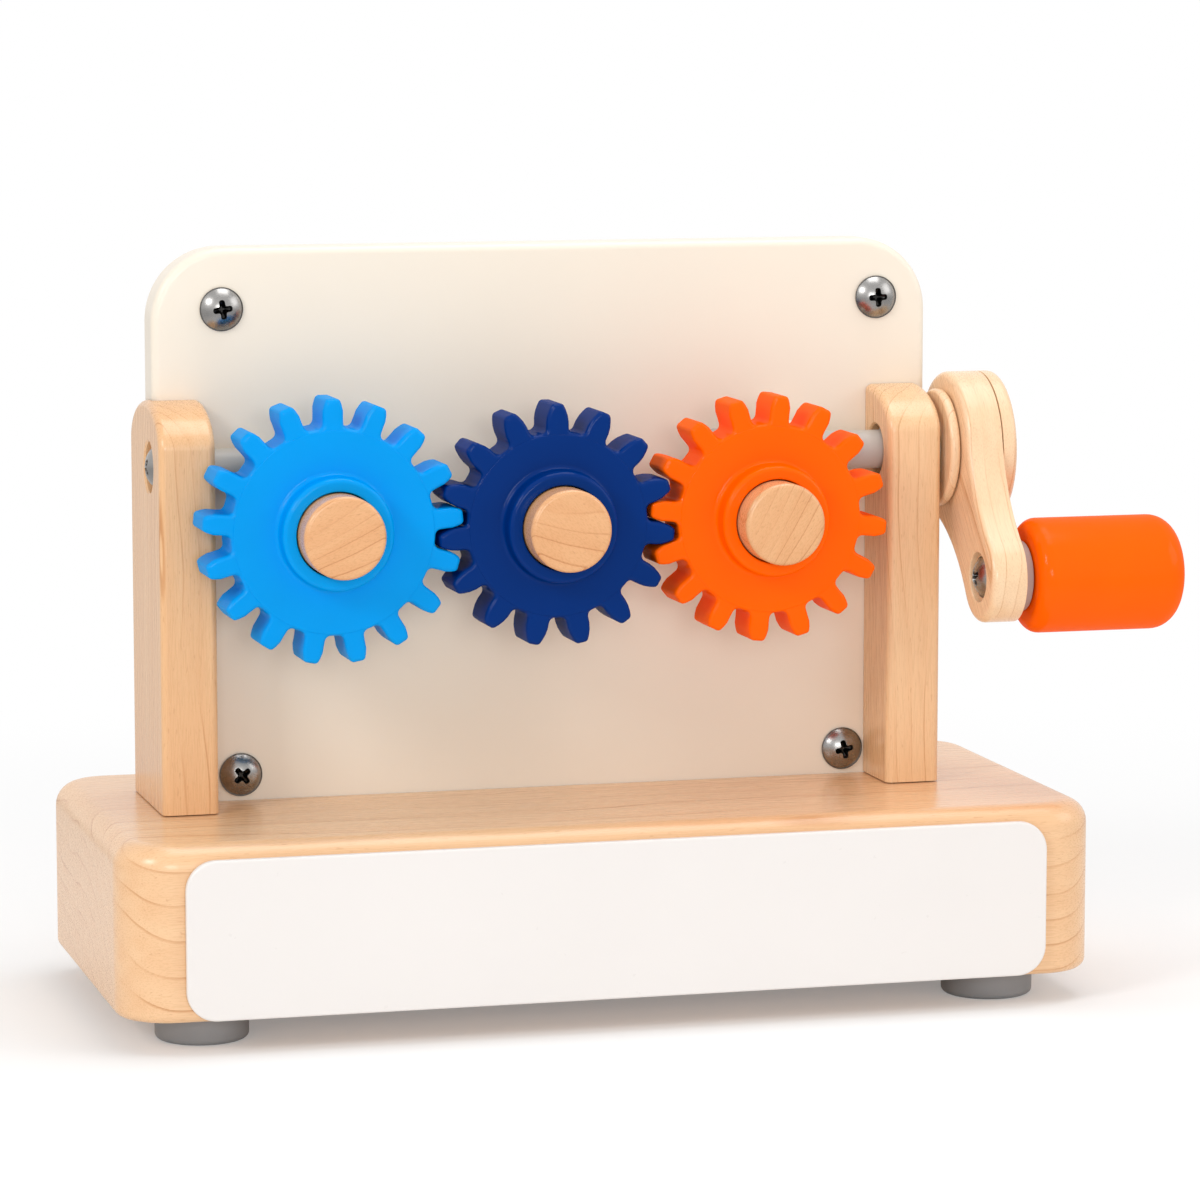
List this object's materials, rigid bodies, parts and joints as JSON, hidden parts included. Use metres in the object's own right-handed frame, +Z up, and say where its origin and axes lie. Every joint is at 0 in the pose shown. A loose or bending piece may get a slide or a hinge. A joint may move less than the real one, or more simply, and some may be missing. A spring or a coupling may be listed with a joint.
{
  "type": "mechanical transmission model",
  "caption": "Wooden teaching toy: a side crank turns a worm that drives a row of meshed toy gears on a cream panel above a rounded base.",
  "frame": {"origin": "on the floor, under the middle of the whole model's bounding box", "axes": "+X towards the crank, -Y towards the front with the plate and gears, +Z up"},
  "size_m": [0.278, 0.1156, 0.1911],
  "materials": {
    "maple": "clear satin lacquer on pale maple",
    "cream_lacquer": "cream satin lacquer on fibreboard",
    "plate_white": "off-white satin",
    "grey_rubber": "matt grey",
    "light_blue_plastic": "glossy moulded",
    "navy_plastic": "glossy moulded",
    "orange_plastic": "glossy moulded",
    "nylon": "natural",
    "shaft_grey": "frosted grey",
    "washer_grey": "warm grey",
    "polished_steel": "polished"
  },
  "bodies": {
    "frame": {"base_block": "maple", "front_plate": "plate_white", "foot_front_left": "grey_rubber", "foot_front_right": "grey_rubber", "foot_back_left": "grey_rubber", "foot_back_right": "grey_rubber", "foot_screw_front_left": "polished_steel", "foot_screw_front_right": "polished_steel", "foot_screw_back_left": "polished_steel", "foot_screw_back_right": "polished_steel", "left_post": "maple", "right_post": "maple", "post_screw_left_front": "polished_steel", "post_screw_left_back": "polished_steel", "post_screw_right_front": "polished_steel", "post_screw_right_back": "polished_steel", "back_panel": "cream_lacquer", "panel_screw_top_left": "polished_steel", "panel_screw_top_right": "polished_steel", "panel_screw_bottom_left": "polished_steel", "panel_screw_bottom_right": "polished_steel", "rear_upright_left": "maple", "rear_upright_right": "maple", "upright_screw_left": "polished_steel", "upright_screw_right": "polished_steel", "axle_rail": "maple", "axle_peg_left": "maple", "axle_peg_middle": "maple", "axle_peg_right": "maple", "axle_screw_left": "polished_steel", "axle_screw_middle": "polished_steel", "axle_screw_right": "polished_steel", "axle_washer_left": "polished_steel", "axle_washer_middle": "polished_steel", "axle_washer_right": "polished_steel", "spacer_left": "nylon", "spacer_middle": "nylon", "spacer_right": "nylon", "shaft_bush": "nylon", "shaft_bracket": "cream_lacquer", "stub_shaft": "shaft_grey", "stub_screw": "polished_steel"},
    "crank": {"drive_shaft": "shaft_grey", "crank_boss": "maple", "crank_arm": "maple", "crank_cap": "maple", "crank_screw": "polished_steel", "handle_bolt": "polished_steel", "handle_washer": "washer_grey", "handle_sleeve": "polished_steel", "handle_retainer": "polished_steel", "handle_nut": "polished_steel"},
    "grip": {"handle_grip": "orange_plastic", "grip_plug": "orange_plastic"},
    "left_gear": {"gear_left": "light_blue_plastic"},
    "middle_gear": {"gear_middle": "navy_plastic"},
    "right_gear": {"gear_right": "orange_plastic", "worm_wheel": "nylon"}
  },
  "joints": [
    {"name": "crank_spin", "type": "hinge", "parent": "frame", "child": "crank", "pos_m": [0.086, -0.00243, 0.1371], "axis": [1, 0, 0], "continuous": true},
    {"name": "grip_spin", "type": "hinge", "parent": "crank", "child": "grip", "pos_m": [0.12, -0.02999, 0.10648], "axis": [1, 0, 0], "continuous": true},
    {"name": "gear_left_spin", "type": "hinge", "parent": "frame", "child": "left_gear", "pos_m": [-0.081, -0.02355, 0.1231], "axis": [0, 1, 0], "continuous": true},
    {"name": "gear_middle_spin", "type": "hinge", "parent": "frame", "child": "middle_gear", "pos_m": [-0.0242, -0.02355, 0.1231], "axis": [0, 1, 0], "continuous": true},
    {"name": "gear_right_spin", "type": "hinge", "parent": "frame", "child": "right_gear", "pos_m": [0.03083, -0.02355, 0.1231], "axis": [0, 1, 0], "continuous": true}
  ],
  "couplings": [
    {"joint": "gear_right_spin", "follows": "crank_spin", "ratio": -0.28571},
    {"joint": "gear_middle_spin", "follows": "crank_spin", "ratio": 0.30476},
    {"joint": "gear_left_spin", "follows": "crank_spin", "ratio": -0.26891}
  ]
}
